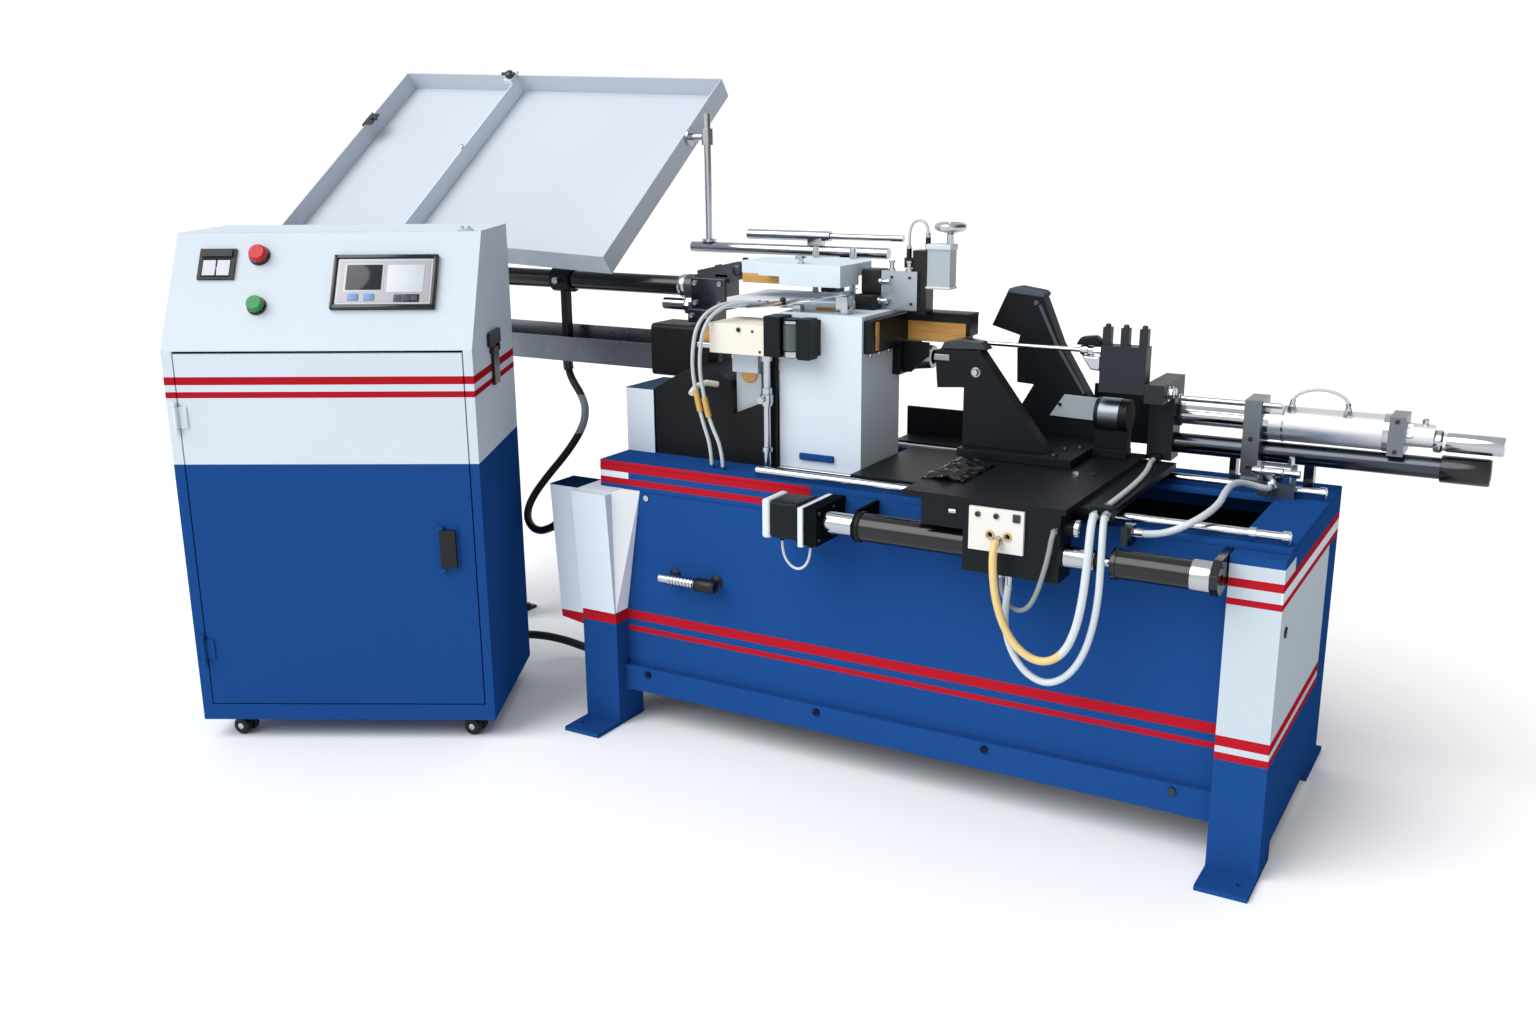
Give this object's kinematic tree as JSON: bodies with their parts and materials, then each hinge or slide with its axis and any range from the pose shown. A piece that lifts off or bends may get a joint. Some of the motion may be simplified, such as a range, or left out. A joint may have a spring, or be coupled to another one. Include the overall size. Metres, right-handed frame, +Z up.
{
  "type": "cnc wood lathe",
  "caption": "Wood lathe with welded bed, belt-driven headstock, screw-driven carriage with tool posts, tail ram, blank feeder and a separate control cabinet on castors.",
  "frame": {"origin": "on the floor at the centre of the four floor bolt holes in the bed feet", "axes": "+X along the bed from headstock to tail, +Y from the front of the bed to its back, +Z up"},
  "size_m": [3.1719, 1.3919, 1.5934],
  "materials": {
    "blue_paint": "gloss paint",
    "white_paint": "satin paint",
    "black_metal": "satin black",
    "black_cast": "blackened",
    "steel": "ground",
    "bright": "polished",
    "alloy": "satin",
    "cream_box": "satin paint",
    "timber": "planed",
    "black_plastic": "matt",
    "red_plastic": "gloss",
    "green_plastic": "gloss",
    "white_plastic": "matt",
    "black_rubber": "matt",
    "hose": "soft gloss"
  },
  "bodies": {
    "bed": {"bed_frame": "blue_paint", "bed_top": "blue_paint", "side_panels": "blue_paint", "end_panels": "blue_paint", "white_covers": "white_paint", "bed_hardware": "steel", "guide_rails": "bright", "way_cover": "black_metal", "drive_motor": "black_metal", "motor_bracket": "white_paint", "screw_covers": "black_metal", "headstock_casting": "black_cast", "valve_box": "cream_box", "side_actuator": "black_metal", "belt_cover": "white_paint", "nose_housing": "black_metal", "guide_block": "timber", "spindle_motor": "black_metal", "drive_belt": "black_rubber", "air_unit": "black_plastic", "alloy_brackets": "alloy", "guide_tube": "black_metal", "tail_barrel": "bright", "feed_tube": "black_metal", "feed_channel": "steel", "blank_tray": "white_paint", "support_rods": "bright", "feeder_stand": "black_metal", "cabinet_body": "white_paint", "console_panel": "white_paint", "panel_fittings": "black_plastic", "door_hinge_pins": "steel", "rear_castor_forks": "steel", "machine_cables": "black_rubber"},
    "screw": {"ball_screw": "steel"},
    "carriage": {"carriage_table": "black_metal", "carriage_apron": "black_metal", "manifold_plate": "white_paint", "carriage_hoses": "hose"},
    "cross": {"cross_slide": "black_metal", "tool_posts": "black_metal"},
    "spindle": {"spindle": "steel"},
    "motor_rotor": {"motor_pulley": "steel"},
    "tail_ram": {"tail_block": "black_metal", "tail_rods": "bright"},
    "jaw": {"upper_jaw": "white_paint"},
    "knob": {"air_knob": "bright"},
    "pusher": {"pusher": "black_metal"},
    "fence": {"tray_fence": "white_paint"},
    "door": {"cabinet_door": "white_paint"},
    "door_paddle": {"door_latch": "black_plastic"},
    "stop": {"stop_button": "red_plastic"},
    "start": {"start_button": "green_plastic"},
    "breaker": {"breaker_levers": "white_plastic"},
    "strap": {"side_latch": "black_plastic"},
    "castor_left": {"castor_fork_left": "steel"},
    "castor_right": {"castor_fork_right": "steel"},
    "wheel_left": {"castor_wheel_left": "black_rubber"},
    "wheel_right": {"castor_wheel_right": "black_rubber"},
    "rear_wheels": {"rear_castor_wheels": "black_rubber"}
  },
  "joints": [
    {"name": "carriage_slide", "type": "slide", "parent": "bed", "child": "carriage", "axis": [1, 0, 0], "range_m": [-0.09, 0.09]},
    {"name": "screw_spin", "type": "hinge", "parent": "bed", "child": "screw", "pos_m": [0, -0.345, 0.61], "axis": [1, 0, 0], "range_deg": [-3260, 3260]},
    {"name": "cross_slide", "type": "slide", "parent": "carriage", "child": "cross", "axis": [0, 1, 0], "range_m": [-0.03, 0.03]},
    {"name": "spindle_spin", "type": "hinge", "parent": "bed", "child": "spindle", "pos_m": [-0.5, 0.08, 0.905], "axis": [1, 0, 0], "continuous": true},
    {"name": "motor_spin", "type": "hinge", "parent": "bed", "child": "motor_rotor", "pos_m": [-0.27, 0.08, 0.47], "axis": [1, 0, 0], "continuous": true},
    {"name": "tail_slide", "type": "slide", "parent": "bed", "child": "tail_ram", "axis": [1, 0, 0], "range_m": [0, 0.09]},
    {"name": "jaw_slide", "type": "slide", "parent": "bed", "child": "jaw", "axis": [0, 0, 1], "range_m": [-0.03, 0]},
    {"name": "knob_turn", "type": "hinge", "parent": "bed", "child": "knob", "pos_m": [-0.013, 0.048, 1.2], "axis": [0, 0, 1], "range_deg": [-160, 160]},
    {"name": "pusher_slide", "type": "slide", "parent": "bed", "child": "pusher", "axis": [1, 0, 0], "range_m": [-0.25, 0.22]},
    {"name": "fence_slide", "type": "slide", "parent": "bed", "child": "fence", "axis": [0.9992, 0, -0.0401], "range_m": [-0.3, 0.4]},
    {"name": "door_hinge", "type": "hinge", "parent": "bed", "child": "door", "pos_m": [-1.51372, -0.8501, 0.51], "axis": [0, 0, -1], "range_deg": [0, 110]},
    {"name": "latch_turn", "type": "hinge", "parent": "door", "child": "door_paddle", "pos_m": [-1.00021, -0.56778, 0.48], "axis": [0, 0, -1], "range_deg": [0, 35]},
    {"name": "stop_press", "type": "slide", "parent": "bed", "child": "stop", "axis": [-0.4071, 0.7374, -0.5391], "range_m": [0, 0.006], "stiffness_N_per_m": 900},
    {"name": "start_press", "type": "slide", "parent": "bed", "child": "start", "axis": [-0.4071, 0.7374, -0.5391], "range_m": [0, 0.006], "stiffness_N_per_m": 900},
    {"name": "breaker_throw", "type": "hinge", "parent": "bed", "child": "breaker", "pos_m": [-1.49697, -0.7087, 1.1134], "axis": [0.8755, 0.4833, 0], "range_deg": [-20, 20]},
    {"name": "strap_swing", "type": "hinge", "parent": "bed", "child": "strap", "pos_m": [-1.01486, -0.32914, 0.914], "axis": [0.4833, -0.8755, 0], "range_deg": [0, 70]},
    {"name": "castor_swivel_left", "type": "hinge", "parent": "bed", "child": "castor_left", "pos_m": [-1.49788, -0.7774, 0.04], "axis": [0, 0, 1], "continuous": true},
    {"name": "castor_swivel_right", "type": "hinge", "parent": "bed", "child": "castor_right", "pos_m": [-1.00324, -0.50434, 0.04], "axis": [0, 0, 1], "continuous": true},
    {"name": "wheel_spin_left", "type": "hinge", "parent": "castor_left", "child": "wheel_left", "pos_m": [-1.48618, -0.77472, 0.021], "axis": [0.2233, -0.9748, 0], "continuous": true},
    {"name": "wheel_spin_right", "type": "hinge", "parent": "castor_right", "child": "wheel_right", "pos_m": [-0.99155, -0.50166, 0.021], "axis": [0.2233, -0.9748, 0], "continuous": true},
    {"name": "rear_wheel_spin", "type": "hinge", "parent": "bed", "child": "rear_wheels", "pos_m": [-1.41198, -0.34847, 0.021], "axis": [0.8755, 0.4833, 0], "continuous": true}
  ],
  "couplings": [
    {"joint": "screw_spin", "follows": "carriage_slide", "rad_per_m": 628.32},
    {"joint": "motor_spin", "follows": "spindle_spin", "ratio": 1}
  ]
}
